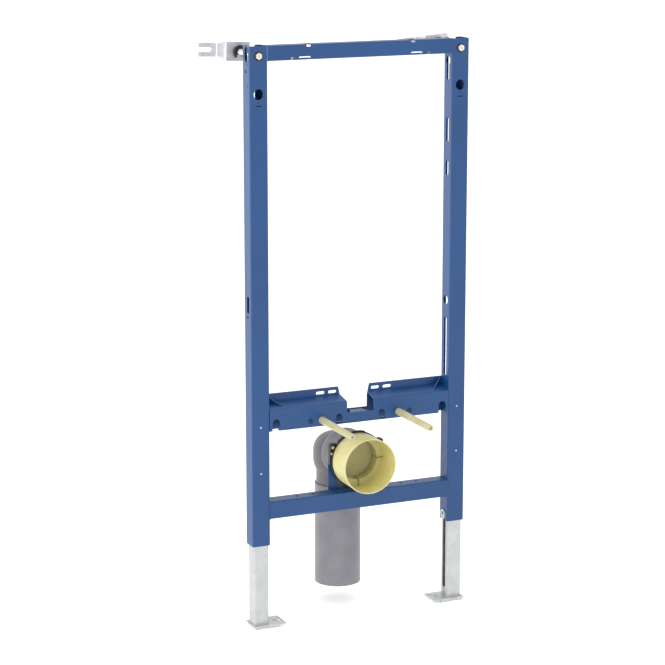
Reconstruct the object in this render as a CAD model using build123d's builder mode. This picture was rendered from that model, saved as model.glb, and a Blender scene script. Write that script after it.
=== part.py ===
"""Wall hung toilet frame: folded steel frame on telescoping legs, with its drain bend.

Millimetres, +Z up, +X to the right seen from the front, +Y towards the wall.
The origin lies midway between the two floor bolts, on the underside of the foot sheets:
x = 0 is the middle of the frame and y = 0 the middle of the posts' depth.
"""

import os

from build123d import *

os.makedirs("parts", exist_ok=True)

# Overall frame
frame_width = 500.0
post_length = 1057.0
leg_show = 175.0

# Posts, folded into C-profiles that open to the rear
post_width = 40.0
post_depth = 38.0
post_sheet = 2.0
post_bend = 1.0
post_mouth = 20.0
access_hole = 22.0
access_drop = 98.0
mark_dot = 3.0
mark_dot_drop = 17.0
mark_dash = 15.0
mark_dash_width = 1.6
mark_dash_drop = 24.0

# Slots and holes in the sides of the posts, by their drop below the top
keyhole_diameter = 19.0
keyhole_drop = 47.0
keyhole_end = 89.0
keyhole_slot_width = 11.0
hanging_slots = ((168.0, 221.0), (259.0, 292.0), (600.0, 730.0))
hanging_slot_width = 12.0
cable_hole = 20.0
cable_hole_drop = 563.0
notch_width = 15.0
notch_height = 25.0
snap_row = -8.0
anchor_slot = (2.0, 33.5)
anchor_slot_row = -2.5
anchor_slot_width = 19.0
snap_hole = 3.5
snap_hole_drop = 37.0
snap_dash = 7.0
snap_dash_width = 1.8
snap_dash_drop = 81.0
arrow_radius = 5.0
arrow_drop = 52.0
outer_slot = (518.0, 554.0)
outer_slot_row = -2.0
outer_hole = 6.0

# Top rail and lower traverse, folded from the same sheet
cross_sheet = 2.0
cross_bend = 1.0
rail_height = 31.3
rail_depth = 26.0
rail_slot_length = 27.0
rail_slot_height = 5.0
rail_slot_place = 127.5
rail_window = 18.0
rail_notch_width = 6.0
rail_notch_height = 5.5
rail_notch_place = 155.5
rail_eye_length = 10.5
rail_eye_height = 5.0
rail_eye_place = 118.7
rail_eye_drop = 2.5
traverse_height = 39.0
traverse_depth = 35.0
traverse_lip = 7.0
traverse_hole = 7.0
traverse_holes = (104.5, 141.0)

# Telescoping legs, their brakes and their feet
leg_gap = 0.8
leg_wall = 2.5
leg_bend = 2.5
leg_slot = 13.0
leg_slot_low = 18.0
leg_slit = 2.0
leg_length = 400.0
brake_play = 0.5
brake_rise = 15.0
brake_proud = 1.5
brake_shank = 9.0
brake_socket = 7.0
brake_socket_depth = 2.5
brake_clamp_gap = 3.0
brake_clamp = 24.4
brake_clamp_thick = 8.0
brake_reach = 18.0
foot_sheet = 3.0
foot_tab = 5.0
foot_length = 73.0
foot_depth = 50.0
foot_hole = 10.0
foot_hole_edge = 18.0
foot_slot_width = 6.0
foot_slot_length = 26.0
foot_slot_edge = 6.0
foot_tabs = ((4.0, 13.0), (29.0, 28.0))

# Bowl plate, a folded box between the posts, open below
stud_height = 440.0
stud_spacing = 180.0
plate_low = 14.0
plate_web = 49.0
plate_strip = 25.0
plate_flange = 12.0
plate_rear_drop = 4.0
ledge_rise = 9.0
plate_sheet = 2.5
plate_bend = 1.0
wing_gap = 63.0
wing_slant = 5.0
bridge_height = 23.5
gusset_length = 40.0
gusset_lean = 6.0
flap_width = 45.0
flap_depth = 25.0
flap_angle = 70.0
flap_shift = -1.5
eye_hole = 12.0
eye_place = 116.0
arches = ((50.0, 15.0, 3.0, 24.0), (195.0, 17.0, -8.0, 26.0))
strip_slots = ((50.5, 19.0), (78.5, 20.0))
strip_slot_width = 6.5
strip_slot_rise = 15.0

# Studs that carry the bowl
stud_diameter = 12.0
stud_reach = 152.0
stud_tail = 6.0
sleeve_diameter = 18.0
sleeve_end = 3.0
sleeve_play = 0.3
nut_flats = 19.0
nut_height = 10.0

# Wall anchors at the top corners
anchor_drop = 20.0
rod_diameter = 10.0
rod_length = 148.0
head_proud = 4.0
head_flats = 12.5
head_dimple = 6.0
head_dimple_depth = 1.5
bush_diameter = 20.0
bush_play = 0.1
bush_flange = 26.0
bush_flange_thick = 3.0
bush_block_depth = 22.0
bush_block_low = 6.0
bush_block_high = 18.0
ring_diameter = 28.0
ring_bore = 15.0
ring_width = 8.0
ring_gap = 16.0
bracket_front = 104.0
bracket_depth = 50.0
bracket_left = 31.5
bracket_right = 23.0
bracket_rise = 20.5
bracket_fall = 19.0
bracket_sheet = 3.0
bracket_bend = 1.0
bracket_turns = (2.5, -5.0)
fork_height = 29.0
fork_length = 41.0
fork_slot = 10.0
fork_slot_depth = 29.0
thread_play = 0.4

# Drain bend and pipe
drain_drop = 100.0
drain_seat = 66.0
drain_axis_depth = 120.0
bend_wall = 4.5
inlet_radius = 50.0
inlet_front = 13.0
inlet_rear = 84.0
passage_radius = 28.0
collar_radius = 52.0
collar_width = 4.0
collar_slope = 6.0
collar_angle = 45.0
heel_radius = 54.0
heel_round = 40.0
heel_rise = 36.0
heel_drop = 20.0
heel_taper = 27.0
spigot_radius = 47.0
spigot_show = 30.0
spigot_depth = 70.0
pipe_wall = 3.2
pipe_play = 0.3
pipe_length = 225.5

# Protective cap, a cup over the bend's inlet with a plug that goes into it
cap_radius = 60.0
cap_front = 51.0
cap_length = 66.0
cap_wall = 2.0
cap_lip = 3.0
cap_floor = 39.0
plug_radius = 45.5
plug_wall = 1.5
plug_play = 0.5

# Seal, clamp and bracket that hold the bend on the traverse
seal_radius = 63.0
seal_thick = 4.0
seal_play = 0.3
clamp_width = 10.0
clamp_ring = 4.0
jaw_width = 17.0
jaw_half = 63.0
jaw_rise = 40.0
jaw_fall = 11.0
jaw_corner = 6.0
bracket_plate = 2.5
bracket_leg_top = 10.0
bracket_leg_foot = 25.0
bracket_foot = 22.0

# Levels and places that follow from the sizes above
front = -post_depth / 2
rear = post_depth / 2
post_low = foot_sheet + leg_show
post_high = post_low + post_length
post_x = (frame_width - post_width) / 2
inner_width = frame_width - 2 * post_width
leg_width = post_width - 2 * (post_sheet + leg_gap)
leg_depth = post_depth - 2 * (post_sheet + leg_gap)
anchor_z = post_high - anchor_drop
plate_bottom = stud_height - plate_low
plate_crease = plate_bottom + plate_web
plate_top = plate_crease + plate_strip
drain_z = stud_height - drain_drop
drain_y = front + drain_axis_depth
traverse_top = drain_z - drain_seat
traverse_low = traverse_top - traverse_height
heel_low = drain_z - heel_drop
spigot_top = heel_low - heel_taper
pipe_top = spigot_top - spigot_show
front_plane = Plane.XZ.offset(-front)
SIDES = (("left", -1), ("right", 1))


def save(part, name):
    """Label a finished piece and write it under its node name."""
    part.label = name
    export_step(part, f"parts/{name}.step")


def upright_slot(y, upper_drop, lower_drop, width):
    """A round-ended slot in a post's side, placed by its ends' drops below the post's top."""
    with Locations((y, post_high - (upper_drop + lower_drop) / 2)):
        SlotOverall(lower_drop - upper_drop, width, rotation=90)


# Posts: C-profiles, open to the rear
for side_name, side in SIDES:
    inner_x = side * inner_width / 2
    outer_x = side * frame_width / 2
    with BuildPart() as post:
        with BuildSketch(Plane.XY.offset(post_low)):
            with Locations((side * post_x, 0)):
                RectangleRounded(post_width, post_depth, post_sheet + post_bend)
                RectangleRounded(
                    post_width - 2 * post_sheet,
                    post_depth - 2 * post_sheet,
                    post_bend,
                    mode=Mode.SUBTRACT,
                )
            with Locations((side * post_x, rear)):
                Rectangle(post_mouth, 4 * post_sheet, mode=Mode.SUBTRACT)
        extrude(amount=post_length)
        # Front face: bush hole, access hole with a dot and a dash below it
        access_z = post_high - access_drop
        with BuildSketch(front_plane):
            with Locations((side * post_x, anchor_z)):
                Circle(bush_diameter / 2 + bush_play)
            with Locations((side * post_x, access_z)):
                Circle(access_hole / 2)
            with Locations((side * post_x, access_z - mark_dot_drop)):
                Circle(mark_dot / 2)
            with Locations((side * post_x, access_z - mark_dash_drop)):
                Rectangle(mark_dash, mark_dash_width)
        extrude(amount=-post_sheet, mode=Mode.SUBTRACT)
        # Inner face: keyhole, hanging slots, cable hole and the notch for the leg brake
        with BuildSketch(Plane.YZ.offset(inner_x)):
            with Locations((0, post_high - keyhole_drop)):
                Circle(keyhole_diameter / 2)
            upright_slot(0, keyhole_drop, keyhole_end, keyhole_slot_width)
            for upper_drop, lower_drop in hanging_slots:
                upright_slot(0, upper_drop, lower_drop, hanging_slot_width)
            with Locations((0, post_high - cable_hole_drop)):
                Circle(cable_hole / 2)
            upright_slot(0, post_length - notch_height, post_length + notch_width, notch_width)
        extrude(amount=post_sheet, both=True, mode=Mode.SUBTRACT)
        # Outer face: anchor slot with its hole, arrow-shaped hole, dash, slot and fixing hole
        with BuildSketch(Plane.YZ.offset(outer_x)):
            upright_slot(anchor_slot_row, *anchor_slot, anchor_slot_width)
            with Locations((snap_row, post_high - snap_hole_drop)):
                Circle(snap_hole / 2)
            with Locations((snap_row, post_high - snap_dash_drop)):
                Rectangle(snap_dash_width, snap_dash)
            with Locations((0, post_high - arrow_drop)):
                RegularPolygon(arrow_radius, 3, rotation=90)
            upright_slot(outer_slot_row, *outer_slot, hanging_slot_width)
            with Locations((0, post_high - cable_hole_drop)):
                Circle(outer_hole / 2)
        extrude(amount=post_sheet, both=True, mode=Mode.SUBTRACT)
    save(post.part, f"{side_name}_post")

# Top rail: C-profile open to the rear, with slots at its lower fold
rail_low = post_high - rail_height
rail_rear = front + rail_depth
with BuildPart() as top_rail:
    with BuildSketch(Plane.YZ.offset(-inner_width / 2)):
        with BuildLine():
            FilletPolyline(
                (rail_rear, rail_low),
                (front, rail_low),
                (front, post_high),
                (rail_rear, post_high),
                radius=cross_sheet + cross_bend,
            )
            offset(amount=cross_sheet, side=Side.RIGHT)
        make_face()
    extrude(amount=inner_width)
    # Slots and notches at the lower fold, small eyes at the upper one
    with BuildSketch(front_plane):
        for _, side in SIDES:
            with Locations((side * rail_slot_place, rail_low + cross_sheet + rail_slot_height / 2)):
                SlotOverall(rail_slot_length, rail_slot_height)
            with Locations((side * rail_notch_place, rail_low)):
                Rectangle(rail_notch_width, 2 * rail_notch_height)
            with Locations((side * rail_eye_place, post_high - rail_eye_drop)):
                SlotOverall(rail_eye_length, rail_eye_height)
    extrude(amount=-cross_sheet - cross_bend, mode=Mode.SUBTRACT)
    # Windows in the flanges behind the slots, the notches and the eyes
    for flange_low, windows in (
        (rail_low, ((rail_slot_place, rail_slot_length), (rail_notch_place, rail_notch_width))),
        (post_high - cross_sheet, ((rail_eye_place, rail_eye_length),)),
    ):
        with BuildSketch(Plane.XY.offset(flange_low)):
            for place, length in windows:
                with Locations(*[(side * place, front + cross_sheet) for _, side in SIDES]):
                    Rectangle(length, rail_window, align=(Align.CENTER, Align.MIN))
        extrude(amount=cross_sheet, mode=Mode.SUBTRACT)
save(top_rail.part, "top_rail")

# Lower traverse: lipped C-profile open to the rear, with fixing holes in its top flange
traverse_rear = front + traverse_depth
with BuildPart() as traverse:
    with BuildSketch(Plane.YZ.offset(-inner_width / 2)):
        with BuildLine():
            FilletPolyline(
                (traverse_rear, traverse_low + traverse_lip),
                (traverse_rear, traverse_low),
                (front, traverse_low),
                (front, traverse_top),
                (traverse_rear, traverse_top),
                (traverse_rear, traverse_top - traverse_lip),
                radius=cross_sheet + cross_bend,
            )
            offset(amount=cross_sheet, side=Side.RIGHT)
        make_face()
    extrude(amount=inner_width)
    with BuildSketch(Plane.XY.offset(traverse_top)):
        for place in traverse_holes:
            with Locations(*[(side * place, front + traverse_depth / 2) for _, side in SIDES]):
                Circle(traverse_hole / 2)
    extrude(amount=-cross_sheet, mode=Mode.SUBTRACT)
save(traverse.part, "lower_traverse")

# Bowl plate: flange, front web and sloping ledge, with a rear wall that stands up as a strip
strip_front = rear - plate_sheet
ledge_rear = plate_crease + ledge_rise
with BuildPart() as bowl_plate:
    with BuildSketch(Plane.YZ.offset(-inner_width / 2)):
        with BuildLine():
            FilletPolyline(
                (front + plate_flange, plate_bottom),
                (front, plate_bottom),
                (front, plate_crease),
                (rear - plate_sheet / 2, ledge_rear),
                radius=plate_sheet + plate_bend,
            )
            offset(amount=plate_sheet, side=Side.RIGHT)
        make_face()
        with Locations((rear, plate_bottom - plate_rear_drop)):
            Rectangle(
                plate_sheet,
                plate_top - plate_bottom + plate_rear_drop,
                align=(Align.MAX, Align.MIN),
            )
    extrude(amount=inner_width)
    # Gap between the wings, which widens up the strip
    with BuildSketch(front_plane):
        with BuildLine():
            Polyline(
                (-wing_gap / 2, plate_bottom + bridge_height),
                (-wing_gap / 2, plate_crease),
                (-wing_gap / 2 - wing_slant, plate_top),
                (wing_gap / 2 + wing_slant, plate_top),
                (wing_gap / 2, plate_crease),
                (wing_gap / 2, plate_bottom + bridge_height),
                close=True,
            )
        make_face()
    extrude(amount=-post_depth, mode=Mode.SUBTRACT)
    # Slanted gussets from the crease to the strip, next to the posts
    for _, side in SIDES:
        end_x = side * inner_width / 2
        toe_y = front + plate_bend + plate_sheet
        heel_y = strip_front + plate_sheet / 2
        toe = Vector(end_x - side * gusset_length, toe_y, plate_crease - plate_sheet / 2)
        heel = Vector(end_x - side * gusset_lean, heel_y, ledge_rear - plate_sheet / 2)
        tip = Vector(end_x - side * plate_sheet, heel_y, plate_top)
        gusset_plane = Plane(origin=toe, x_dir=heel - toe, z_dir=(heel - toe).cross(tip - toe))
        with BuildSketch(gusset_plane):
            with BuildLine():
                Polyline(
                    (0, 0),
                    gusset_plane.to_local_coords(heel),
                    gusset_plane.to_local_coords(tip),
                    close=True,
                )
            make_face()
        extrude(amount=side * plate_sheet)
    # Flap bent back from the top edge of the bridge
    with BuildSketch(Plane.XY.offset(plate_bottom + bridge_height)):
        with Locations((flap_shift, front + flap_depth / 2)):
            Trapezoid(flap_width, flap_depth, flap_angle)
    extrude(amount=-plate_sheet)
    # Holes for the studs, eyes and arched windows in the web, and open arches at its ends
    with BuildSketch(front_plane):
        for _, side in SIDES:
            with Locations((side * stud_spacing / 2, stud_height)):
                Circle(stud_diameter / 2 + sleeve_play)
            with Locations((side * eye_place, stud_height)):
                Circle(eye_hole / 2)
            for place, width, low, high in arches:
                with Locations((side * place, (low + high) / 2 + plate_bottom)):
                    SlotOverall(high - low, width, rotation=90)
                with Locations((side * place, low + plate_bottom)):
                    Rectangle(width, width / 2, align=(Align.CENTER, Align.MIN))
    extrude(amount=-plate_flange, mode=Mode.SUBTRACT)
    # Fixing slots in the upright strip
    with BuildSketch(Plane.XZ.offset(-rear)):
        for _, side in SIDES:
            for place, length in strip_slots:
                with Locations((side * place, plate_crease + strip_slot_rise)):
                    SlotOverall(length, strip_slot_width)
    extrude(amount=plate_sheet, mode=Mode.SUBTRACT)
save(bowl_plate.part, "bowl_plate")

# Legs, feet and leg brakes
for side_name, side in SIDES:
    leg_inner_x = side * (post_x - leg_width / 2)
    with BuildPart() as leg:
        with BuildSketch(Plane.XY.offset(foot_sheet)):
            with Locations((side * post_x, 0)):
                RectangleRounded(leg_width, leg_depth, leg_wall + leg_bend)
                RectangleRounded(
                    leg_width - 2 * leg_wall,
                    leg_depth - 2 * leg_wall,
                    leg_bend,
                    mode=Mode.SUBTRACT,
                )
            with Locations((leg_inner_x, 0)):
                Rectangle(4 * leg_wall, leg_slit, mode=Mode.SUBTRACT)
        extrude(amount=leg_length)
        # Slot for the brake, closed by a round end above the foot
        slot_low = foot_sheet + leg_slot_low
        with BuildSketch(Plane.YZ.offset(leg_inner_x)):
            with Locations((0, slot_low + leg_slot / 2)):
                Circle(leg_slot / 2)
                Rectangle(leg_slot, leg_length, align=(Align.CENTER, Align.MIN))
        extrude(amount=leg_wall, both=True, mode=Mode.SUBTRACT)
    save(leg.part, f"{side_name}_leg")

    foot_outer_x = side * frame_width / 2
    foot_inner_x = foot_outer_x - side * foot_length
    with BuildPart() as foot:
        with BuildSketch(Plane.XY):
            with Locations(((foot_outer_x + foot_inner_x) / 2, 0)):
                Rectangle(foot_length, foot_depth)
            with Locations((foot_inner_x + side * foot_hole_edge, 0)):
                Circle(foot_hole / 2, mode=Mode.SUBTRACT)
            with Locations((foot_inner_x + side * foot_slot_edge, 0)):
                SlotOverall(foot_slot_length, foot_slot_width, rotation=90, mode=Mode.SUBTRACT)
        extrude(amount=foot_sheet)
        # Turned-down tabs along the front and rear edges
        with BuildSketch(Plane.XY):
            for tab_edge, tab_length in foot_tabs:
                tab_x = foot_outer_x - side * (tab_edge + tab_length / 2)
                for tab_y in (-(foot_depth - foot_sheet) / 2, (foot_depth - foot_sheet) / 2):
                    with Locations((tab_x, tab_y)):
                        Rectangle(tab_length, foot_sheet)
        extrude(amount=-foot_tab)
    save(foot.part, f"{side_name}_foot_plate")

    brake_plane = Plane(
        origin=(side * (inner_width / 2 - brake_proud), 0, post_low + brake_rise),
        z_dir=(side, 0, 0),
    )
    head_length = brake_proud + post_sheet
    with BuildPart() as brake:
        # Round head in the post's notch, with a socket, and the shank behind it
        with BuildSketch(brake_plane):
            Circle(notch_width / 2 - brake_play)
        extrude(amount=head_length)
        with BuildSketch(brake_plane):
            RegularPolygon(brake_socket / 2, 6, major_radius=False)
        extrude(amount=brake_socket_depth, mode=Mode.SUBTRACT)
        with BuildSketch(brake_plane.offset(head_length)):
            Circle(brake_shank / 2)
        extrude(amount=brake_reach)
        # Clamp that bears on the inside of the leg
        with BuildSketch(brake_plane.offset(head_length + leg_gap + leg_wall + brake_clamp_gap)):
            Rectangle(brake_clamp, brake_clamp)
        extrude(amount=brake_clamp_thick)
    save(brake.part, f"{side_name}_leg_brake")

# Wall anchors: hex-headed rod, bush, ring, nut and forked bracket
for (side_name, side), turn in zip(SIDES, bracket_turns):
    rod_x = side * post_x
    rod_plane = Plane(origin=(rod_x, front, anchor_z), x_dir=(1, 0, 0), z_dir=(0, 1, 0))
    with BuildPart() as rod:
        with BuildSketch(rod_plane.offset(-head_proud)):
            RegularPolygon(head_flats / 2, 6, major_radius=False, rotation=30)
        extrude(amount=head_proud)
        with BuildSketch(rod_plane.offset(-head_proud)):
            Circle(head_dimple / 2)
        extrude(amount=head_dimple_depth, mode=Mode.SUBTRACT)
        with BuildSketch(rod_plane):
            Circle(rod_diameter / 2)
        extrude(amount=rod_length)
    save(rod.part, f"{side_name}_anchor_rod")

    with BuildPart() as bush:
        with BuildSketch(rod_plane):
            Circle(bush_diameter / 2)
        extrude(amount=post_sheet)
        with BuildSketch(rod_plane.offset(post_sheet)):
            Circle(bush_flange / 2)
        extrude(amount=bush_flange_thick)
        # Block above the rod, between the post's two side faces
        block_width = post_width - 2 * (post_sheet + bush_play)
        with BuildSketch(rod_plane.offset(post_sheet)):
            with Locations((0, -bush_block_low)):
                Rectangle(block_width, bush_block_high - bush_block_low, align=(Align.CENTER, Align.MAX))
        extrude(amount=bush_block_depth)
        front_corners = bush.edges().filter_by(Axis.Z).group_by(Axis.Y)[0]
        fillet(front_corners, post_bend + bush_play)
        with BuildSketch(rod_plane):
            Circle(rod_diameter / 2)
        extrude(amount=post_sheet + bush_flange_thick, mode=Mode.SUBTRACT)
    save(bush.part, f"{side_name}_anchor_bush")

    with BuildPart() as ring:
        with BuildSketch(rod_plane.offset(bracket_front - ring_width)):
            Circle(ring_diameter / 2)
            Circle(ring_bore / 2, mode=Mode.SUBTRACT)
            Rectangle(ring_gap, ring_diameter, align=(Align.CENTER, Align.MIN), mode=Mode.SUBTRACT)
        extrude(amount=ring_width)
    save(ring.part, f"{side_name}_anchor_ring")

    with BuildPart() as anchor_nut:
        with BuildSketch(rod_plane.offset(bracket_front - ring_width)):
            RegularPolygon(ring_bore / 2, 6)
            Circle(rod_diameter / 2 + thread_play, mode=Mode.SUBTRACT)
        extrude(amount=ring_width)
    save(anchor_nut.part, f"{side_name}_anchor_nut")

    # Bracket folded from one sheet: front plate, tapering web and forked plate on the wall
    web_x = rod_x - bracket_left
    plate_front = front + bracket_front
    wall_y = plate_front + bracket_depth
    with BuildPart() as bracket:
        with BuildSketch(Plane.XY.offset(anchor_z - bracket_fall)):
            with BuildLine():
                FilletPolyline(
                    (rod_x + bracket_right, plate_front),
                    (web_x, plate_front),
                    (web_x, wall_y - bracket_sheet),
                    (web_x - fork_length, wall_y - bracket_sheet),
                    radius=bracket_sheet + bracket_bend,
                )
                offset(amount=bracket_sheet, side=Side.RIGHT)
            make_face()
        extrude(amount=bracket_rise + bracket_fall)
        # Upper and lower edges of the web, which taper towards the wall
        for edge, fork_edge in ((bracket_rise, fork_height / 2), (-bracket_fall, -fork_height / 2)):
            with BuildSketch(Plane.YZ.offset(rod_x + bracket_right)):
                with BuildLine():
                    Polyline(
                        (plate_front + bracket_sheet, anchor_z + edge),
                        (wall_y, anchor_z + edge),
                        (wall_y, anchor_z + fork_edge),
                        (wall_y - bracket_sheet, anchor_z + fork_edge),
                        close=True,
                    )
                make_face()
            extrude(amount=-bracket_right - bracket_left - fork_length, mode=Mode.SUBTRACT)
        with BuildSketch(rod_plane.offset(bracket_front)):
            Circle(rod_diameter / 2 + thread_play)
        extrude(amount=bracket_sheet, mode=Mode.SUBTRACT)
        with BuildSketch(rod_plane.offset(bracket_front + bracket_depth - bracket_sheet)):
            with Locations((web_x - rod_x - fork_length, 0)):
                SlotOverall(2 * fork_slot_depth, fork_slot)
        extrude(amount=bracket_sheet, mode=Mode.SUBTRACT)
    # Each bracket hangs a little turned about its rod
    rod_axis = Axis(rod_plane.origin, rod_plane.z_dir)
    save(bracket.part.rotate(rod_axis, turn), f"{side_name}_wall_bracket")

# Bowl studs with their sleeves and nuts
for side_name, side in SIDES:
    stud_plane = Plane(
        origin=(side * stud_spacing / 2, front, stud_height), x_dir=(1, 0, 0), z_dir=(0, -1, 0)
    )
    stud_inside = plate_sheet + nut_height + stud_tail
    with BuildPart() as stud:
        with BuildSketch(stud_plane.offset(-stud_inside)):
            Circle(stud_diameter / 2)
        extrude(amount=stud_inside + stud_reach)
    save(stud.part, f"{side_name}_bowl_stud")

    with BuildPart() as sleeve:
        with BuildSketch(stud_plane):
            Circle(sleeve_diameter / 2)
            Circle(stud_diameter / 2 + sleeve_play, mode=Mode.SUBTRACT)
        extrude(amount=stud_reach + sleeve_end)
    save(sleeve.part, f"{side_name}_stud_sleeve")

    with BuildPart() as stud_nut:
        with BuildSketch(stud_plane.offset(-plate_sheet)):
            RegularPolygon(nut_flats / 2, 6, major_radius=False)
            Circle(stud_diameter / 2, mode=Mode.SUBTRACT)
        extrude(amount=-nut_height)
    save(stud_nut.part, f"{side_name}_stud_nut")

# Drain bend: inlet with a collar, rounded heel and spigot
drain_plane = Plane(origin=(0, front, drain_z), x_dir=(1, 0, 0), z_dir=(0, 1, 0))
heel_top = drain_z + heel_rise
spigot_low = pipe_top - spigot_depth
spigot_axis = Axis((0, drain_y, 0), (0, 0, 1))
bore = spigot_radius - bend_wall
with BuildPart() as bend:
    # Heel and spigot, turned about the pipe's axis
    with BuildSketch(Plane.XZ.offset(-drain_y)):
        with BuildLine():
            Line((0, heel_top), (heel_radius - heel_round, heel_top))
            CenterArc((heel_radius - heel_round, heel_top - heel_round), heel_round, 0, 90)
            Line((heel_radius, heel_top - heel_round), (heel_radius, heel_low))
            TangentArc((heel_radius, heel_low), (spigot_radius, spigot_top), tangent=(0, -1))
            Polyline((spigot_radius, spigot_top), (spigot_radius, spigot_low), (0, spigot_low), (0, heel_top))
        make_face()
    revolve(axis=spigot_axis)
    with BuildSketch(drain_plane.offset(inlet_front)):
        Circle(inlet_radius)
    extrude(amount=inlet_rear - inlet_front)
    with BuildSketch(drain_plane.offset(inlet_rear)):
        Circle(collar_radius)
    extrude(amount=collar_width)
    with BuildSketch(drain_plane.offset(inlet_rear + collar_width)):
        Circle(collar_radius)
    extrude(amount=collar_slope, taper=collar_angle)
    # Waterway: inlet bore, passage to the heel, hollow heel and spigot
    for bore_radius, bore_end in (
        (plug_radius + plug_play, inlet_rear),
        (passage_radius, drain_axis_depth),
    ):
        with BuildSketch(drain_plane.offset(inlet_front)):
            Circle(bore_radius)
        extrude(amount=bore_end - inlet_front, mode=Mode.SUBTRACT)
    with BuildSketch(Plane.XZ.offset(-drain_y)):
        with BuildLine():
            Polyline(
                (0, heel_top - bend_wall),
                (heel_radius - heel_round, heel_top - bend_wall),
                (heel_radius - bend_wall, heel_top - heel_round),
                (heel_radius - bend_wall, heel_low),
                (bore, spigot_top),
                (bore, spigot_low),
                (0, spigot_low),
                close=True,
            )
        make_face()
    revolve(axis=spigot_axis, mode=Mode.SUBTRACT)
save(bend.part, "drain_bend")

with BuildPart() as pipe:
    with BuildSketch(Plane.XY.offset(pipe_top)):
        with Locations((0, drain_y)):
            Circle(spigot_radius + pipe_play + pipe_wall)
            Circle(spigot_radius + pipe_play, mode=Mode.SUBTRACT)
    extrude(amount=-pipe_length)
save(pipe.part, "drain_pipe")

# Protective cap, turned in one piece: lipped cup, ledge on the inlet's edge, and plug
cap_rear = cap_length - cap_front
cap_ledge = inlet_front - plug_wall
with BuildPart() as cap:
    with BuildSketch(Plane(origin=drain_plane.origin, x_dir=(0, 1, 0), z_dir=(1, 0, 0))):
        with BuildLine():
            Polyline(
                (-cap_front, cap_radius - cap_wall),
                (-cap_front, cap_radius),
                (cap_lip - cap_front, cap_radius),
                (cap_lip - cap_front, cap_radius - cap_wall / 2),
                (cap_rear, cap_radius - cap_wall / 2),
                (cap_rear, cap_radius - cap_wall),
                (inlet_front, cap_radius - cap_wall),
                (inlet_front, plug_radius),
                (cap_floor + plug_wall, plug_radius),
                (cap_floor + plug_wall, 0),
                (cap_floor, 0),
                (cap_floor, plug_radius - plug_wall),
                (cap_ledge, plug_radius - plug_wall),
                (cap_ledge, cap_radius - cap_wall),
                close=True,
            )
        make_face()
    revolve(axis=Axis(drain_plane.origin, drain_plane.z_dir))
save(cap.part, "drain_cap")

# Black seal and clamp behind the cap
with BuildPart() as seal:
    with BuildSketch(drain_plane.offset(cap_rear)):
        Circle(seal_radius)
        Circle(inlet_radius + seal_play, mode=Mode.SUBTRACT)
    extrude(amount=seal_thick)
save(seal.part, "drain_seal")

# Clamp: a half ring under the inlet between two upright jaws
clamp_front = cap_rear + seal_thick
with BuildPart() as clamp:
    with BuildSketch(drain_plane.offset(clamp_front)):
        Circle(inlet_radius + seal_play + clamp_ring)
        Rectangle(2 * jaw_half, jaw_half, align=(Align.CENTER, Align.MAX), mode=Mode.SUBTRACT)
        for _, side in SIDES:
            with Locations((side * (jaw_half - jaw_width / 2), (jaw_fall - jaw_rise) / 2)):
                RectangleRounded(jaw_width, jaw_rise + jaw_fall, jaw_corner)
        Circle(inlet_radius + seal_play, mode=Mode.SUBTRACT)
    extrude(amount=clamp_width)
save(clamp.part, "drain_clamp")

# Bracket on the traverse: two legs that spread towards the foot they share
bracket_y = front + clamp_front + clamp_width
with BuildPart() as drain_bracket:
    for _, side in SIDES:
        with BuildSketch(Plane.XZ.offset(-bracket_y)):
            with BuildLine():
                Polyline(
                    (side * jaw_half, traverse_top),
                    (side * jaw_half, drain_z),
                    (side * (jaw_half - bracket_leg_top), drain_z),
                    (side * (jaw_half - bracket_leg_foot), traverse_top),
                    close=True,
                )
            make_face()
            with Locations((0, drain_z)):
                Circle(inlet_radius + seal_play, mode=Mode.SUBTRACT)
        extrude(amount=-bracket_plate)
    with BuildSketch(Plane.XY.offset(traverse_top)):
        with Locations((0, bracket_y + bracket_plate)):
            Rectangle(2 * jaw_half, bracket_foot, align=(Align.CENTER, Align.MAX))
    extrude(amount=bracket_plate)
save(drain_bracket.part, "drain_bracket")
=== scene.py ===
import math

import bpy
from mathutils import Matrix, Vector


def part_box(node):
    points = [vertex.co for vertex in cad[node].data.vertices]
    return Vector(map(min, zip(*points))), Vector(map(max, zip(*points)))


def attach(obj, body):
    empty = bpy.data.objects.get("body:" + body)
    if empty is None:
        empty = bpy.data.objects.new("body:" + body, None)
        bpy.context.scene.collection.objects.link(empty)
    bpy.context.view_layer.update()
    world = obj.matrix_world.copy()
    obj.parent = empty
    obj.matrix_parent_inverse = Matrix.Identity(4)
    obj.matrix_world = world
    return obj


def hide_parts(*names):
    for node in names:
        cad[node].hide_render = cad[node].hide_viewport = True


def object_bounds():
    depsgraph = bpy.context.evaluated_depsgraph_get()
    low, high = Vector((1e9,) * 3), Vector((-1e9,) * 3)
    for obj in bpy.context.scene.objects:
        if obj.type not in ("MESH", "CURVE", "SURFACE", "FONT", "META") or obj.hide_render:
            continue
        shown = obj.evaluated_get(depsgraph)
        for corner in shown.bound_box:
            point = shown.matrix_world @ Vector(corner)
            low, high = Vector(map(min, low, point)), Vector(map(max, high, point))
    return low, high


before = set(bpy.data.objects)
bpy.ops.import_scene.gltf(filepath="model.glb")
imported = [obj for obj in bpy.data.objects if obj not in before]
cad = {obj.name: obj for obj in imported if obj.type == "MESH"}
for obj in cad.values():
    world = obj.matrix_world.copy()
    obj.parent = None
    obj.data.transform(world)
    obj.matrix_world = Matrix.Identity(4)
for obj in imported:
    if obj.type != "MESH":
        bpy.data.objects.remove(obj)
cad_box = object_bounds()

SIDES = (("left", -1), ("right", 1))

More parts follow.
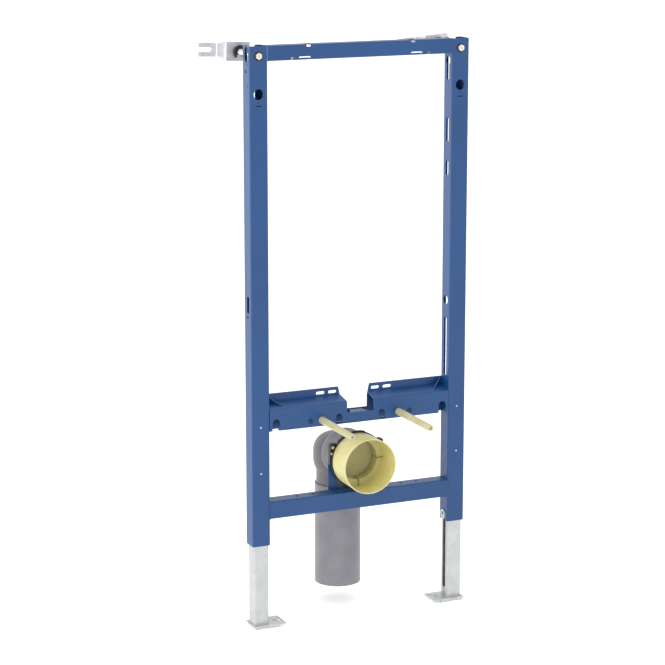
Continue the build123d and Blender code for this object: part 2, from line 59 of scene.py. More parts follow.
# Studio. A white tent over a white acrylic table lit from below, as catalogue pictures are
# taken in. The camera stands low on the left, far off, with a long lens.
bpy.ops.object.select_all(action="DESELECT")
camera_data = bpy.data.cameras.new("camera")
camera_data.lens = 124.18
camera_data.sensor_width = 36.0
camera = bpy.data.objects.new("camera", camera_data)
camera.location = (-1.99295, -4.33119, 1.65915)
camera_target = Vector((-0.06578, -0.019, 0.62781))
camera.rotation_euler = (camera_target - camera.location).to_track_quat("-Z", "Y").to_euler()
bpy.context.scene.collection.objects.link(camera)
bpy.context.scene.camera = camera
bpy.context.scene.view_settings.view_transform = "Standard"


def linear(colour):
    """Linear RGBA of an sRGB hex colour."""
    channels = [int(colour[i:i + 2], 16) / 255 for i in (1, 3, 5)]
    return [c / 12.92 if c < 0.04045 else ((c + 0.055) / 1.055) ** 2.4 for c in channels] + [1.0]


tent_brightness = 1.08
world = bpy.data.worlds.new("white_tent")
world.use_nodes = True
world.node_tree.nodes["Background"].inputs["Color"].default_value = linear("#FFFFFF")
world.node_tree.nodes["Background"].inputs["Strength"].default_value = tent_brightness
bpy.context.scene.world = world

for name, place, size, energy in (
    ("key_left", (-5.0, -1.4, 1.2), 4.0, 105.0),
    ("rim_left", (-2.4, 4.2, 0.9), 4.0, 28.0),
    ("soft_top", (0.2, -0.4, 3.6), 2.6, 6.0),
):
    lamp_data = bpy.data.lights.new(name, "AREA")
    lamp_data.size = size
    lamp_data.energy = energy
    lamp = bpy.data.objects.new(name, lamp_data)
    lamp.location = place
    lamp.rotation_euler = (Vector((0, 0, 0.6)) - lamp.location).to_track_quat("-Z", "Y").to_euler()
    bpy.context.scene.collection.objects.link(lamp)

floor_span = 40.0
floor_level = cad_box[0][2]
bpy.ops.mesh.primitive_plane_add(size=floor_span, location=(0, 0, floor_level))
floor = bpy.context.object
floor.name = "studio_floor"
bpy.ops.object.transform_apply(location=True, rotation=True, scale=True)
table_glow = 0.3
acrylic = bpy.data.materials.new("white_acrylic_table")
acrylic.use_nodes = True
acrylic_shader = acrylic.node_tree.nodes["Principled BSDF"]
acrylic_shader.inputs["Base Color"].default_value = linear("#FAFAFA")
acrylic_shader.inputs["Roughness"].default_value = 0.9
acrylic_shader.inputs["Emission Color"].default_value = linear("#FFFFFF")
acrylic_shader.inputs["Emission Strength"].default_value = table_glow
floor.data.materials.append(acrylic)


# Legs and feet. Square tubes folded from 2.5 mm steel and welded to pressed foot sheets,
# then zinc plated. They slide in the posts, which rubs faint upright lines into the zinc.
def add_node(material, kind, settings, inputs):
    """Adds a node, sets its properties, and sets or links its inputs."""
    node = material.node_tree.nodes.new(kind)
    for name, value in settings.items():
        setattr(node, name, value)
    for name, value in inputs.items():
        if isinstance(value, bpy.types.NodeSocket):
            material.node_tree.links.new(value, node.inputs[name])
        else:
            node.inputs[name].default_value = value
    return node


def start_finish(name, slot, roughness, metallic=0.0):
    """A new material with its shader and its object coordinates, paired with its slot name."""
    material = bpy.data.materials.new(name)
    material.use_nodes = True
    shader = material.node_tree.nodes["Principled BSDF"]
    shader.inputs["Roughness"].default_value = roughness
    shader.inputs["Metallic"].default_value = metallic
    coordinates = add_node(material, "ShaderNodeTexCoord", {}, {})
    return (material, slot), shader, coordinates.outputs["Object"]


def two_tone(finish, shader, factor, first, second, smooth, rough):
    """Lets a pattern drive the colour between two tones, and the roughness with it."""
    material = finish[0]
    ramp = add_node(material, "ShaderNodeValToRGB", {}, {"Fac": factor})
    ramp_ends = (0.35, 0.65)
    for element, colour, position in zip(ramp.color_ramp.elements, (first, second), ramp_ends):
        element.color = linear(colour)
        element.position = position
    material.node_tree.links.new(ramp.outputs["Color"], shader.inputs["Base Color"])
    gloss = add_node(
        material, "ShaderNodeMapRange", {},
        {"Value": factor, "To Min": smooth, "To Max": rough},
    )
    material.node_tree.links.new(gloss.outputs["Result"], shader.inputs["Roughness"])
    return ramp.outputs["Color"]


def dress(finish, *names):
    """Puts a finish on CAD nodes."""
    for name in names:
        for slot in cad[name].material_slots:
            slot.material = finish[0]


# Bright zinc: pale, a little bluish, faintly cloudy at the size of a thumb, and satin where
# light grazes it. Its spangle is finer than a pixel here, so the clouds are drawn 20 mm
# wide. The rubbing lines are 2 mm wide and run the whole height.
zinc, shader, place = start_finish("bright_zinc_plate", "zinc", 0.36, metallic=0.85)
clouds_per_metre = 50.0
clouds = add_node(
    zinc[0], "ShaderNodeTexNoise", {},
    {"Vector": place, "Scale": clouds_per_metre, "Detail": 4.0},
)
zinc_colour = two_tone(zinc, shader, clouds.outputs["Fac"], "#BEC0C1", "#C8CACA", 0.38, 0.46)
rubs_per_metre = (500.0, 500.0, 5.0)
stretch = add_node(
    zinc[0], "ShaderNodeMapping", {}, {"Vector": place, "Scale": rubs_per_metre}
)
rub = add_node(
    zinc[0], "ShaderNodeTexNoise", {}, {"Vector": stretch.outputs["Vector"], "Scale": 1.0}
)
rubbed = add_node(
    zinc[0], "ShaderNodeMixRGB", {"blend_type": "MULTIPLY"},
    {"Fac": 0.12, "Color1": zinc_colour, "Color2": rub.outputs["Fac"]},
)
zinc[0].node_tree.links.new(rubbed.outputs["Color"], shader.inputs["Base Color"])
for side, _ in SIDES:
    dress(zinc, f"{side}_leg", f"{side}_foot_plate")


# A run of weld joins each leg to its foot sheet, before and behind: small ripples, plated
# over with the rest. It is modelled once and copied.
def select_only(piece):
    """Leaves one piece selected and active."""
    bpy.ops.object.select_all(action="DESELECT")
    piece.select_set(True)
    bpy.context.view_layer.objects.active = piece


def pick(piece, kind, test):
    """In edit mode, leaves selected the vertices, edges or faces whose middle passes a test."""
    if piece.mode != "EDIT":
        bpy.ops.object.mode_set(mode="EDIT")
    bpy.ops.mesh.select_mode(type={"vertices": "VERT", "edges": "EDGE", "polygons": "FACE"}[kind])
    bpy.ops.mesh.select_all(action="DESELECT")
    bpy.ops.object.mode_set(mode="OBJECT")
    points = piece.data.vertices
    for element in getattr(piece.data, kind):
        corners = [element.index] if kind == "vertices" else element.vertices
        middle = sum((points[corner].co for corner in corners), Vector()) / len(corners)
        element.select = test(middle)
    bpy.ops.object.mode_set(mode="EDIT")


def add_bar(sides, radius, depth, centre, turn=(0, 0, 0)):
    """A round or many-sided bar at its place, to be shaped further."""
    bpy.ops.object.select_all(action="DESELECT")
    bpy.ops.mesh.primitive_cylinder_add(
        vertices=sides, radius=radius, depth=depth, location=centre, rotation=turn
    )
    bpy.ops.object.transform_apply(location=True, rotation=True, scale=True)
    return bpy.context.object


def finish_piece(piece, name, finish, body, angle=35):
    """Applies a piece's place, turns its faces outwards, and names, dresses and rides it."""
    if piece.mode == "EDIT":
        bpy.ops.object.mode_set(mode="OBJECT")
    select_only(piece)
    bpy.ops.object.transform_apply(location=True, rotation=True, scale=True)
    bpy.ops.object.mode_set(mode="EDIT")
    bpy.ops.mesh.select_all(action="SELECT")
    bpy.ops.mesh.remove_doubles(threshold=0.000001)
    bpy.ops.mesh.normals_make_consistent(inside=False)
    bpy.ops.object.mode_set(mode="OBJECT")
    bpy.ops.object.shade_smooth_by_angle(angle=math.radians(angle))
    piece.name = name
    piece.data.name = name
    material, slot = finish
    piece.data.materials.clear()
    piece.data.materials.append(material)
    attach(piece, body)
    return piece


def copy_piece(piece, name, finish, body, shift=(0, 0, 0), turn=0.0, centre=(0, 0, 0)):
    """A copy with its own mesh, turned about Y round a centre and then shifted."""
    select_only(piece)
    bpy.ops.object.duplicate(linked=False)
    twin = bpy.context.object
    if turn:
        bpy.ops.object.mode_set(mode="EDIT")
        bpy.ops.mesh.select_all(action="SELECT")
        bpy.ops.transform.rotate(value=turn, orient_axis="Y", center_override=centre)
        bpy.ops.object.mode_set(mode="OBJECT")
    twin.location = shift
    return finish_piece(twin, name, finish, body)


def weld_run(length, radius, ripples):
    """A weld bead along X, round in section, with its ripples and drawn-in ends."""
    bead = add_bar(8, radius, length, (0, 0, 0), (0, math.pi / 2, 0))
    pick(bead, "edges", lambda middle: abs(middle.x) < length / 4)
    bpy.ops.mesh.subdivide(number_cuts=2 * ripples - 1)
    step = length / (2 * ripples)
    pick(bead, "vertices", lambda middle: round((middle.x + length / 2) / step) % 2 == 0)
    bpy.ops.transform.resize(value=(1, 0.8, 0.8), center_override=(0, 0, 0))
    pick(bead, "vertices", lambda middle: abs(middle.x) > length / 2 - step / 2)
    bpy.ops.transform.resize(value=(1, 0.5, 0.5), center_override=(0, 0, 0))
    bpy.ops.object.mode_set(mode="OBJECT")
    return bead


weld_radius = 0.0016
leg_low, leg_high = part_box("left_leg")
foot_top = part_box("left_foot_plate")[1][2]
foot_weld_length = 0.026
foot_weld = weld_run(foot_weld_length, weld_radius, ripples=13)
foot_weld.location = ((leg_low[0] + leg_high[0]) / 2, leg_low[1], foot_top)
finish_piece(foot_weld, "left_foot_front_weld", zinc, "left_leg")
leg_depth = leg_high[1] - leg_low[1]
leg_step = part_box("right_leg")[0][0] - leg_low[0]
copy_piece(foot_weld, "left_foot_rear_weld", zinc, "left_leg", (0, leg_depth, 0))
copy_piece(foot_weld, "right_foot_front_weld", zinc, "right_leg", (leg_step, 0, 0))
copy_piece(foot_weld, "right_foot_rear_weld", zinc, "right_leg", (leg_step, leg_depth, 0))

# Welded frame. Posts, top rail, traverse and bowl plate are folded from 2 to 2.5 mm steel
# sheet, welded together, and powder coated in one go.

# Powder coat: satin, with a fine orange peel and a slow drift in shade where the coat is
# thicker. Real peel is about 1 mm wide and hardly shows here, so it is drawn 2.5 mm wide.
blue_coat, shader, place = start_finish("blue_powder_coat", "blue_paint", 0.4)
drift_per_metre = 7.0
drift = add_node(
    blue_coat[0], "ShaderNodeTexNoise", {},
    {"Vector": place, "Scale": drift_per_metre, "Detail": 3.0},
)
two_tone(blue_coat, shader, drift.outputs["Fac"], "#0B3F73", "#11457B", 0.34, 0.46)
peel_per_metre = 400.0
peel = add_node(
    blue_coat[0], "ShaderNodeTexNoise", {},
    {"Vector": place, "Scale": peel_per_metre, "Detail": 1.0},
)
bump = add_node(
    blue_coat[0], "ShaderNodeBump", {},
    {"Height": peel.outputs["Fac"], "Strength": 0.15, "Distance": 0.0002},
)
blue_coat[0].node_tree.links.new(bump.outputs["Normal"], shader.inputs["Normal"])
shader.inputs["IOR"].default_value = 1.5
dress(blue_coat, "left_post", "right_post", "top_rail", "lower_traverse", "bowl_plate")

# Behind, each post stays open along its whole height. A narrow lip on the right of its mouth
# is the edge of its sheet.
lip_width = 0.004
lip_thick = 0.0018
lip_edge = 0.0004
lip_x = -0.2215
lip_y = 0.018
post_step = 0.460
post_low, post_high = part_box("left_post")
lip_height = post_high[2] - post_low[2] - lip_edge
bpy.ops.object.select_all(action="DESELECT")
bpy.ops.mesh.primitive_cube_add(size=1.0, location=(0, 0, 0))
lip = bpy.context.object
lip.scale = (lip_width, lip_thick, lip_height)
bpy.ops.object.transform_apply(location=True, rotation=True, scale=True)
pick(lip, "edges", lambda middle: middle.x < -0.001)
bpy.ops.mesh.bevel(offset=lip_edge, segments=2)
bpy.ops.object.mode_set(mode="OBJECT")
lip.location = (lip_x, lip_y, (post_low[2] + post_high[2]) / 2)
finish_piece(lip, "left_post_lip", blue_coat, "frame")
copy_piece(lip, "right_post_lip", blue_coat, "frame", (post_step, 0, 0))

# Short weld runs join the rail and the traverse to the posts, along their flanges, and
# are coated with the frame. A fine bead also fills each joint in front. On the left it is
# ground flush at the rail and stands a little proud at the traverse.
rail_low, rail_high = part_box("top_rail")
traverse_low, traverse_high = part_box("lower_traverse")
frame_weld_length = 0.018
weld_inset = 0.001
traverse_weld_shift = 0.004
frame_weld = weld_run(frame_weld_length, weld_radius, ripples=9)
frame_weld.rotation_euler = (0, 0, math.pi / 2)
frame_weld.location = (
    rail_low[0], (rail_low[1] + rail_high[1]) / 2, rail_high[2] - weld_inset
)
finish_piece(frame_weld, "left_rail_top_weld", blue_coat, "frame")
inner_width = rail_high[0] - rail_low[0]
for name, level, depth in (
    ("rail_top", rail_high[2] - weld_inset, 0.0),
    ("rail_underside", rail_low[2] + weld_inset, 0.0),
    ("traverse_top", traverse_high[2] - weld_inset, traverse_weld_shift),
    ("traverse_underside", traverse_low[2] + weld_inset, traverse_weld_shift),
):
    for side, sign in SIDES:
        if (side, name) != ("left", "rail_top"):
            shift = ((1 + sign) / 2 * inner_width, depth, level - rail_high[2] + weld_inset)
            copy_piece(frame_weld, f"{side}_{name}_weld", blue_coat, "frame", shift)

# Paler coat on the ground bead at the rail: the same paint in a lighter blue, a painted
# highlight along the joint, with a mottle 6 mm wide.
highlight_blue_coat, shader, place = start_finish("painted_highlight_blue_coat", "blue_paint", 0.4)
bead_mottle_per_metre = 160.0
bead_mottle = add_node(
    highlight_blue_coat[0], "ShaderNodeTexNoise", {},
    {"Vector": place, "Scale": bead_mottle_per_metre},
)
two_tone(highlight_blue_coat, shader, bead_mottle.outputs["Fac"], "#34659B", "#4474A8", 0.34, 0.46)
seam_radius = 0.0013
seam_reach = 0.0008
seam_rim = 0.0004
end_swell = 1.03
flush = 0.0009
proud = 0.0001
# The rail's bead takes the paler coat, a painted highlight; the traverse's bead keeps the plain
# coat.
for name, low, high, sunk, coat in (
    ("rail", rail_low, rail_high, flush, highlight_blue_coat),
    ("traverse", traverse_low, traverse_high, proud, blue_coat),
):
    seam_x, seam_y, middle_z = low[0] - seam_reach, low[1] + sunk, (low[2] + high[2]) / 2
    seam = add_bar(12, seam_radius, high[2] - low[2], (seam_x, seam_y, middle_z))
    pick(seam, "polygons", lambda middle: abs(middle.z - middle_z) > 0.01)
    bpy.ops.mesh.inset(thickness=seam_rim)
    bpy.ops.transform.resize(
        value=(1, 1, end_swell), center_override=(seam_x, seam_y, middle_z)
    )
    finish_piece(seam, f"left_{name}_front_weld", coat, "frame")
    copy_piece(seam, f"right_{name}_front_weld", blue_coat, "frame", (-2 * seam_x, flush - sunk, 0))

# Blind rivets. Two in the front of each post, at the ends of the plate and the traverse.
# Each has a low domed head with the stub of its pin in the middle.

# Rivet heads: a soft bluish grey metal, paler than the coat: a painted highlight for the light that
# the domes catch.
rivet_highlight_grey, shader, place = start_finish("rivet_painted_highlight_grey", "zinc", 0.45, metallic=0.8)
grain_per_metre = 500.0
grain = add_node(
    rivet_highlight_grey[0], "ShaderNodeTexNoise", {},
    {"Vector": place, "Scale": grain_per_metre},
)
two_tone(rivet_highlight_grey, shader, grain.outputs["Fac"], "#A9B7D2", "#B9C5DB", 0.4, 0.5)
rivet_radius = 0.0024
rivet_height = 0.0014
pin_sink = 0.0008
rivet_x = -0.230
upper_rivet_z = 0.4378
rivet_drop = 0.1005
rivet_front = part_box("left_post")[0][1]
bpy.ops.object.select_all(action="DESELECT")
bpy.ops.mesh.primitive_uv_sphere_add(segments=20, ring_count=12, radius=rivet_radius)
rivet = bpy.context.object
pick(rivet, "vertices", lambda middle: middle.z > rivet_radius * 0.93)
bpy.ops.transform.translate(value=(0, 0, -pin_sink))
bpy.ops.mesh.select_all(action="SELECT")
bpy.ops.mesh.bisect(plane_co=(0, 0, 0), plane_no=(0, 0, 1), clear_inner=True, use_fill=True)
bpy.ops.mesh.select_all(action="SELECT")
bpy.ops.transform.resize(value=(1, 1, rivet_height / rivet_radius), center_override=(0, 0, 0))
bpy.ops.object.mode_set(mode="OBJECT")
rivet.rotation_euler = (math.pi / 2, 0, 0)
rivet.location = (rivet_x, rivet_front, upper_rivet_z)
finish_piece(rivet, "left_upper_rivet", rivet_highlight_grey, "frame")
copy_piece(rivet, "left_lower_rivet", rivet_highlight_grey, "frame", (0, 0, -rivet_drop))
copy_piece(rivet, "right_upper_rivet", rivet_highlight_grey, "frame", (post_step, 0, 0))
copy_piece(rivet, "right_lower_rivet", rivet_highlight_grey, "frame", (post_step, 0, -rivet_drop))

# Leg brakes. A round zinc plated head in the notch at the foot of each post, under a wide
# cover washer. A near-black screw sits in its socket and draws the clamp against the inside of
# the leg; its black is a painted shade for the dark of the socket.

# Near-black steel, oily, with a soft wide gloss: a painted shade for the socket it sits in.
socket_shade_steel, shader, place = start_finish("socket_painted_shade_steel", "zinc", 0.45, metallic=0.7)
shade_per_metre = 300.0
shade = add_node(
    socket_shade_steel[0], "ShaderNodeTexNoise", {},
    {"Vector": place, "Scale": shade_per_metre},
)
two_tone(socket_shade_steel, shader, shade.outputs["Fac"], "#22262B", "#31363C", 0.38, 0.5)
screw_radius = 0.0034
screw_length = 0.0018
screw_sink = 0.0006
socket_rim = 0.0014
socket_depth = 0.0012
# The washer's hole is blind: a floor 0.2 mm thick stays, 0.7 mm behind the screw's face.
washer_radius = 0.0112
washer_thick = 0.0018
washer_rim = 0.0006
washer_crown = 0.0003
hole_radius = 0.0043
hole_depth = 0.0019
hole_rise = 0.0026
for side, sign in SIDES:
    dress(zinc, f"{side}_leg_brake")
    brake_low, brake_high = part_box(f"{side}_leg_brake")
    brake_face = brake_high[0] if sign < 0 else brake_low[0]
    brake_z = (brake_low[2] + brake_high[2]) / 2
    screw_x = brake_face + sign * (screw_sink + screw_length / 2)
    screw = add_bar(24, screw_radius, screw_length, (screw_x, 0, brake_z), (0, math.pi / 2, 0))
    pick(screw, "polygons", lambda middle: abs(middle.x - brake_face) < 0.001)
    bpy.ops.mesh.inset(thickness=socket_rim)
    bpy.ops.mesh.extrude_region_move(
        TRANSFORM_OT_translate={"value": (sign * socket_depth, 0, 0)}
    )
    finish_piece(screw, f"{side}_brake_screw", socket_shade_steel, "frame")
    wall_x = sign * rail_high[0]
    front_x = wall_x - sign * washer_thick
    middle_x = wall_x - sign * washer_thick / 2
    washer = add_bar(
        40, washer_radius, washer_thick, (middle_x, 0, brake_z - hole_rise), (0, math.pi / 2, 0)
    )
    pick(washer, "polygons", lambda middle: abs(middle.x - front_x) < 0.0001)
    bpy.ops.mesh.inset(thickness=washer_rim)
    bpy.ops.transform.translate(value=(-sign * washer_crown, 0, 0))
    bpy.ops.mesh.inset(thickness=washer_radius - washer_rim - hole_radius)
    bpy.ops.transform.translate(value=(0, 0, hole_rise))
    bpy.ops.mesh.extrude_region_move(TRANSFORM_OT_translate={"value": (sign * hole_depth, 0, 0)})
    finish_piece(washer, f"{side}_brake_washer", zinc, "frame")

# Wall anchors. A hex-headed rod with an M10 thread runs through a black bush in the post to
# a folded bracket, which a nut and an open black ring hold on it. All steel is zinc plated.
def wind(profile, steps, start, pitch=0.0, turns=1):
    """Winds a closed profile of (radius, height) corners round an axis along +Y, from a start
    point. With a pitch it climbs and its two ends are closed. Without one it makes a ring."""
    bpy.ops.object.select_all(action="DESELECT")
    bpy.ops.mesh.primitive_circle_add(vertices=len(profile), radius=1.0, fill_type="NOTHING")
    wound = bpy.context.object
    for point, (radius, height) in zip(wound.data.vertices, profile):
        point.co = (radius, 0, height)
    winding = wound.modifiers.new("winding", "SCREW")
    winding.axis = "Z"
    winding.iterations = turns
    winding.steps = steps
    winding.render_steps = steps
    winding.screw_offset = pitch
    winding.use_merge_vertices = not pitch
    winding.merge_threshold = 0.00001
    select_only(wound)
    bpy.ops.object.modifier_apply(modifier="winding")
    if pitch:
        bpy.ops.object.mode_set(mode="EDIT")
        bpy.ops.mesh.select_mode(type="EDGE")
        bpy.ops.mesh.select_all(action="DESELECT")
        bpy.ops.mesh.select_non_manifold(extend=False)
        bpy.ops.mesh.edge_face_add()
        bpy.ops.object.mode_set(mode="OBJECT")
    wound.rotation_euler = (-math.pi / 2, 0, 0)
    wound.location = start
    bpy.ops.object.transform_apply(location=True, rotation=True, scale=True)
    return wound


def thread(name, finish, start, length, radius, pitch, depth):
    """A screw thread along Y from a start point: one closed ridge wound round a bar."""
    half_root = pitch * 0.45
    root, crest = radius - 0.0002, radius + depth
    ridge = wind(
        ((root, -half_root), (crest, 0.0), (root, half_root)), 20, start, pitch, int(length / pitch)
    )
    return finish_piece(ridge, name, finish, "frame", angle=30)


# Pale chromated zinc on the rods and nuts: as the bright zinc, but brighter and a touch
# warmer.
warm_zinc, shader, place = start_finish("pale_chromate_zinc", "zinc", 0.36, metallic=0.8)
haze_per_metre = 120.0
haze = add_node(
    warm_zinc[0], "ShaderNodeTexNoise", {},
    {"Vector": place, "Scale": haze_per_metre, "Detail": 3.0},
)
two_tone(warm_zinc, shader, haze.outputs["Fac"], "#D9D2CA", "#E6E0D8", 0.3, 0.42)

# Fresh zinc on the brackets: newer than on the legs and lighter, with fine clouds 11 mm
# wide and no rubbing lines.
fresh_zinc, shader, place = start_finish("fresh_zinc_plate", "zinc", 0.4, metallic=0.8)
frost_per_metre = 90.0
frost = add_node(
    fresh_zinc[0], "ShaderNodeTexNoise", {},
    {"Vector": place, "Scale": frost_per_metre, "Detail": 4.0},
)
two_tone(fresh_zinc, shader, frost.outputs["Fac"], "#C8C9CC", "#D4D5D8", 0.4, 0.5)

# Black polyamide: moulded, nearly black, with a dull sheen and a faint mottle 6 mm wide.
black_plastic, shader, place = start_finish("black_polyamide", "black_plastic", 0.42)
mottle_per_metre = 160.0
mottle = add_node(
    black_plastic[0], "ShaderNodeTexNoise", {},
    {"Vector": place, "Scale": mottle_per_metre, "Detail": 2.0},
)
two_tone(black_plastic, shader, mottle.outputs["Fac"], "#0E1115", "#171B20", 0.36, 0.5)
rod_radius = 0.005
rod_pitch = 0.0015
rod_ridge = 0.00035
for side, sign in SIDES:
    dress(black_plastic, f"{side}_anchor_bush", f"{side}_anchor_ring")
    dress(warm_zinc, f"{side}_anchor_rod", f"{side}_anchor_nut")
    dress(fresh_zinc, f"{side}_wall_bracket")
    rod_low, rod_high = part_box(f"{side}_anchor_rod")
    rod_x = (rod_low[0] + rod_high[0]) / 2
    rod_z = (rod_low[2] + rod_high[2]) / 2
    thread_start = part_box(f"{side}_post")[1][1] - 0.004
    thread_length = rod_high[1] - thread_start - 0.002
    thread(
        f"{side}_rod_thread", warm_zinc, (rod_x, thread_start, rod_z), thread_length,
        rod_radius, rod_pitch, rod_ridge,
    )

# Bowl studs. M12 threaded bars stand out of the plate under pale yellow sleeves that keep
# plaster off them, and are held by nuts and washers behind the plate.

# Thin polyethylene with a pale yellow dye: waxy, with a soft gloss. The steel inside dulls
# its yellow, in slow bands about 30 mm long.
sleeve_plastic, shader, place = start_finish(
    "thin_pale_yellow_polyethylene", "yellow_plastic", 0.42
)
bands_per_metre = 35.0
bands = add_node(
    sleeve_plastic[0], "ShaderNodeTexNoise", {},
    {"Vector": place, "Scale": bands_per_metre, "Detail": 3.0},
)
two_tone(sleeve_plastic, shader, bands.outputs["Fac"], "#B6B087", "#C1BB90", 0.36, 0.48)
plate_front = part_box("bowl_plate")[0][1]
stud_radius = 0.006
stud_pitch = 0.00175
stud_ridge = 0.00028
stud_tail = 0.0058
sleeve_radius = 0.0078
sleeve_tip = 0.007
sleeve_face = 0.0062
sleeve_edge = 0.0012
sleeve_bore = 0.0063
sleeve_hole = 0.003
sleeve_end = 0.002
for side, sign in SIDES:
    dress(zinc, f"{side}_bowl_stud", f"{side}_stud_nut")
    stud_low, stud_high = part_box(f"{side}_bowl_stud")
    stud_x = (stud_low[0] + stud_high[0]) / 2
    stud_z = (stud_low[2] + stud_high[2]) / 2
    tail_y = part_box(f"{side}_stud_nut")[1][1]
    thread(
        f"{side}_stud_thread", zinc, (stud_x, tail_y, stud_z), stud_tail,
        stud_radius, stud_pitch, stud_ridge,
    )
    # The sleeve is drawn in a little towards its front, where a small hole shows the stud's end.
    sleeve_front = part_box(f"{side}_stud_sleeve")[0][1]
    sleeve_length = plate_front - sleeve_front
    sleeve = wind(
        (
            (sleeve_hole, 0), (sleeve_face, 0), (sleeve_tip, sleeve_edge),
            (sleeve_radius, sleeve_length), (sleeve_bore, sleeve_length),
            (sleeve_bore, sleeve_end), (sleeve_hole, sleeve_end),
        ), 40, (stud_x, sleeve_front, stud_z),
    )
    finish_piece(sleeve, f"{side}_slim_sleeve", sleeve_plastic, "frame")
    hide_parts(f"{side}_stud_sleeve")

# Drain bracket and clamp. A blue sheet bracket stands on the traverse and carries a black
# moulded clamp. Two small hex screws stand on each side: the upper draws its jaws together
# round the inlet, and the lower, smaller one is a painted highlight on the jaw.

# Yellow chromated steel on the screws: a dull straw colour with a faint mottle.
dress(blue_coat, "drain_bracket")
dress(black_plastic, "drain_clamp")
straw_zinc, shader, place = start_finish("yellow_chromate_zinc", "zinc", 0.5, metallic=0.5)
tint_per_metre = 400.0
tint = add_node(
    straw_zinc[0], "ShaderNodeTexNoise", {},
    {"Vector": place, "Scale": tint_per_metre},
)
two_tone(straw_zinc, shader, tint.outputs["Fac"], "#B4AE86", "#C4BE98", 0.42, 0.55)
clamp_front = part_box("drain_clamp")[0][1]
head_height = 0.003
head_crown = 0.0004
head_y = clamp_front - head_height / 2
for side, sign in SIDES:
    # The lower, smaller screw stands for a light spot on the jaw: a painted highlight.
    for name, radius, out, level in (
        ("upper", 0.0036, 0.0572, 0.3712),
        ("lower", 0.0028, 0.0598, 0.3578),
    ):
        head = add_bar(6, radius, head_height, (sign * out, head_y, level), (math.pi / 2, 0, 0))
        pick(head, "polygons", lambda middle: middle.y < clamp_front - 0.9 * head_height)
        bpy.ops.mesh.inset(thickness=radius / 6)
        bpy.ops.transform.translate(value=(0, -head_crown, 0))
        finish_piece(head, f"{side}_{name}_clamp_screw", straw_zinc, "frame")

# Seal. A flat ring of black rubber between the cap and the clamp, moulded with two lugs to
# pull it by, which peep out above the cap. It is matt and a touch greyer than the plastic,
# with a bloom 11 mm wide.
rubber, shader, place = start_finish("dark_epdm_rubber", "black_rubber", 0.62)
bloom_per_metre = 90.0
bloom = add_node(
    rubber[0], "ShaderNodeTexNoise", {},
    {"Vector": place, "Scale": bloom_per_metre, "Detail": 3.0},
)
two_tone(rubber, shader, bloom.outputs["Fac"], "#131416", "#1D1E20", 0.55, 0.7)
seal_low, seal_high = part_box("drain_seal")
drain_z = (seal_low[2] + seal_high[2]) / 2
seal_inner = 0.0503
seal_outer = 0.0613
seal_thick = 0.004
lug_outer = 0.0635
lugs = ((90, 15), (130, 8))
seal = wind(
    ((seal_inner, 0), (seal_outer, 0), (seal_outer, seal_thick), (seal_inner, seal_thick)),
    96, (0, seal_low[1], drain_z),
)


def in_lug(corner):
    """True on the seal's outer edge within a lug, given by its middle and half width in degrees."""
    angle = math.degrees(math.atan2(corner.z - drain_z, corner.x))
    on_edge = math.hypot(corner.x, corner.z - drain_z) > seal_outer - 0.0005
    return on_edge and any(abs(angle - middle) < half for middle, half in lugs)


pick(seal, "vertices", in_lug)
lug_growth = lug_outer / seal_outer
bpy.ops.transform.resize(value=(lug_growth, 1, lug_growth), center_override=(0, 0, drain_z))
finish_piece(seal, "lugged_seal", rubber, "frame")
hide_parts("drain_seal")

# Drain bend and pipe. Both are moulded in grey polyethylene. The bend's spigot sits in the
# mouth of the pipe.

# Grey polyethylene: waxy mid grey with faint flow marks about 45 mm wide.
grey_pipe, shader, place = start_finish("grey_polyethylene", "grey_pipe", 0.4)
flow_per_metre = 22.0
flow = add_node(
    grey_pipe[0], "ShaderNodeTexNoise", {},
    {"Vector": place, "Scale": flow_per_metre, "Detail": 3.0},
)
two_tone(grey_pipe, shader, flow.outputs["Fac"], "#76757A", "#818086", 0.34, 0.48)
dress(grey_pipe, "drain_pipe")

# The bend is painted a shade darker than the pipe, a painted shade over its heel, with the same
# flow marks.
shaded_bend_grey, shader, place = start_finish("painted_shade_grey_polyethylene", "grey_pipe", 0.4)
flow_per_metre = 22.0
flow = add_node(
    shaded_bend_grey[0], "ShaderNodeTexNoise", {},
    {"Vector": place, "Scale": flow_per_metre, "Detail": 3.0},
)
two_tone(shaded_bend_grey, shader, flow.outputs["Fac"], "#605F64", "#69686E", 0.34, 0.48)
dress(shaded_bend_grey, "drain_bend")

# Behind the bracket a collar stands out from the bend. It keeps the pipe's plain grey, without the
# bend's painted shade.
collar_start = 0.058
collar_length = 0.011
collar_root = 0.0499
collar = wind(
    (
        (collar_root, 0), (0.053, 0.007), (0.0531, 0.0105), (0.0528, collar_length),
        (collar_root, collar_length),
    ), 72, (0, collar_start, drain_z),
)
finish_piece(collar, "bend_collar", grey_pipe, "frame")

# Cap. A thin moulded cup with a plug that goes into the inlet. Four ribs on the ledge
# round the plug stiffen it.

# Moulded polyethylene with a pale yellow dye: waxy and a little see-through, so the cup
# glows. Towards its back the plug turns olive: painted shade in the recess, and the dark inlet seen
# through it.
cap_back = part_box("drain_cap")[1][1]
ledge_y = -0.0075
tone_lead = 0.004
yellow_plastic, shader, place = start_finish("pale_yellow_polyethylene", "yellow_plastic", 0.42)
wax_per_metre = 35.0
wax = add_node(
    yellow_plastic[0], "ShaderNodeTexNoise", {},
    {"Vector": place, "Scale": wax_per_metre, "Detail": 3.0},
)
wax_colour = two_tone(yellow_plastic, shader, wax.outputs["Fac"], "#CEC68A", "#D5CD92", 0.36, 0.5)
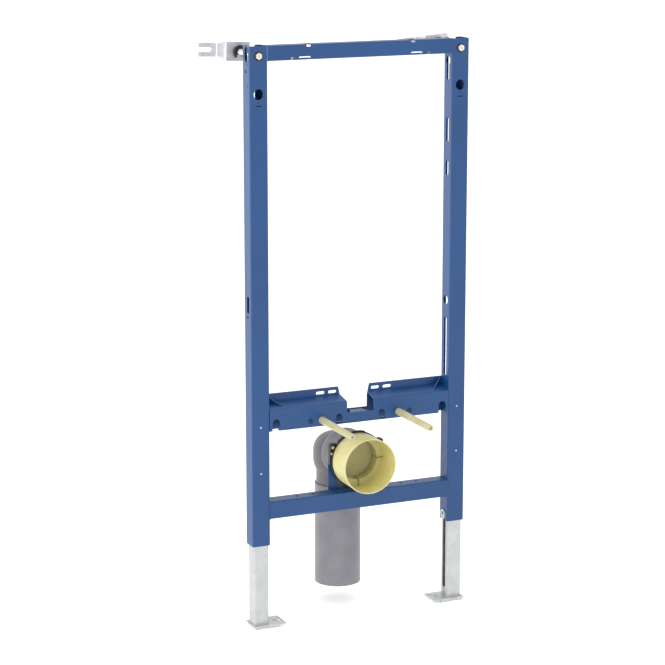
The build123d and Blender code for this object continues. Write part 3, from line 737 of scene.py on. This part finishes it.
# Darker towards the back of the cup: painted shade in the recess and over the dark inlet.
depth = add_node(yellow_plastic[0], "ShaderNodeSeparateXYZ", {}, {"Vector": place})
recess_shade_ramp = add_node(
    yellow_plastic[0], "ShaderNodeMapRange", {},
    {
        "Value": depth.outputs["Y"],
        "From Min": ledge_y - tone_lead, "From Max": cap_back - tone_lead,
    },
)
recess_shaded_colour = add_node(
    yellow_plastic[0], "ShaderNodeMixRGB", {"blend_type": "MIX"},
    {"Fac": recess_shade_ramp.outputs["Result"], "Color1": wax_colour, "Color2": linear("#BBB487")},
)
yellow_plastic[0].node_tree.links.new(recess_shaded_colour.outputs["Color"], shader.inputs["Base Color"])
shader.inputs["Subsurface Weight"].default_value = 0.35
shader.inputs["Subsurface Radius"].default_value = (0.006, 0.005, 0.002)
shader.inputs["Subsurface Scale"].default_value = 1.0
dress(yellow_plastic, "drain_cap")

# A rib adds 3 mm of plastic to the ledge behind it. Its deep olive is a painted shadow of the rib
# on the ledge.
rib_shadow_plastic, shader, place = start_finish("rib_painted_shadow_yellow", "yellow_plastic", 0.45)
wax_per_metre = 90.0
wax = add_node(
    rib_shadow_plastic[0], "ShaderNodeTexNoise", {},
    {"Vector": place, "Scale": wax_per_metre, "Detail": 2.0},
)
two_tone(rib_shadow_plastic, shader, wax.outputs["Fac"], "#8E8650", "#9A9258", 0.4, 0.52)
rib_start = 0.0439
rib_length = 0.0142
rib_depth = 0.003
rib_thick = 0.0012
rib_taper = 0.002
plug_depth = 0.027
bpy.ops.object.select_all(action="DESELECT")
bpy.ops.mesh.primitive_cube_add(size=1.0, location=(0, 0, 0))
rib = bpy.context.object
rib.scale = (rib_length, rib_depth, rib_thick)
bpy.ops.object.transform_apply(location=True, rotation=True, scale=True)
pick(rib, "vertices", lambda middle: middle.y < 0 < middle.x)
bpy.ops.transform.translate(value=(-rib_taper, 0, 0))
pick(rib, "polygons", lambda middle: middle.x < -rib_length / 2 + 0.0001)
bpy.ops.mesh.extrude_region_move(TRANSFORM_OT_translate={"value": (-rib_thick, 0, 0)})
pick(rib, "polygons", lambda middle: middle.y > 0.45 * rib_depth and middle.x < -rib_length / 2)
bpy.ops.mesh.extrude_region_move(TRANSFORM_OT_translate={"value": (0, plug_depth, 0)})
bpy.ops.object.mode_set(mode="OBJECT")
rib.location = (rib_start + rib_length / 2, ledge_y - rib_depth / 2, drain_z)
finish_piece(rib, "cap_rib_right", rib_shadow_plastic, "frame")
for name, quarter in (("below", 1), ("left", 2), ("above", 3)):
    copy_piece(
        rib, f"cap_rib_{name}", rib_shadow_plastic, "frame",
        turn=quarter * math.pi / 2, centre=(0, ledge_y, drain_z),
    )
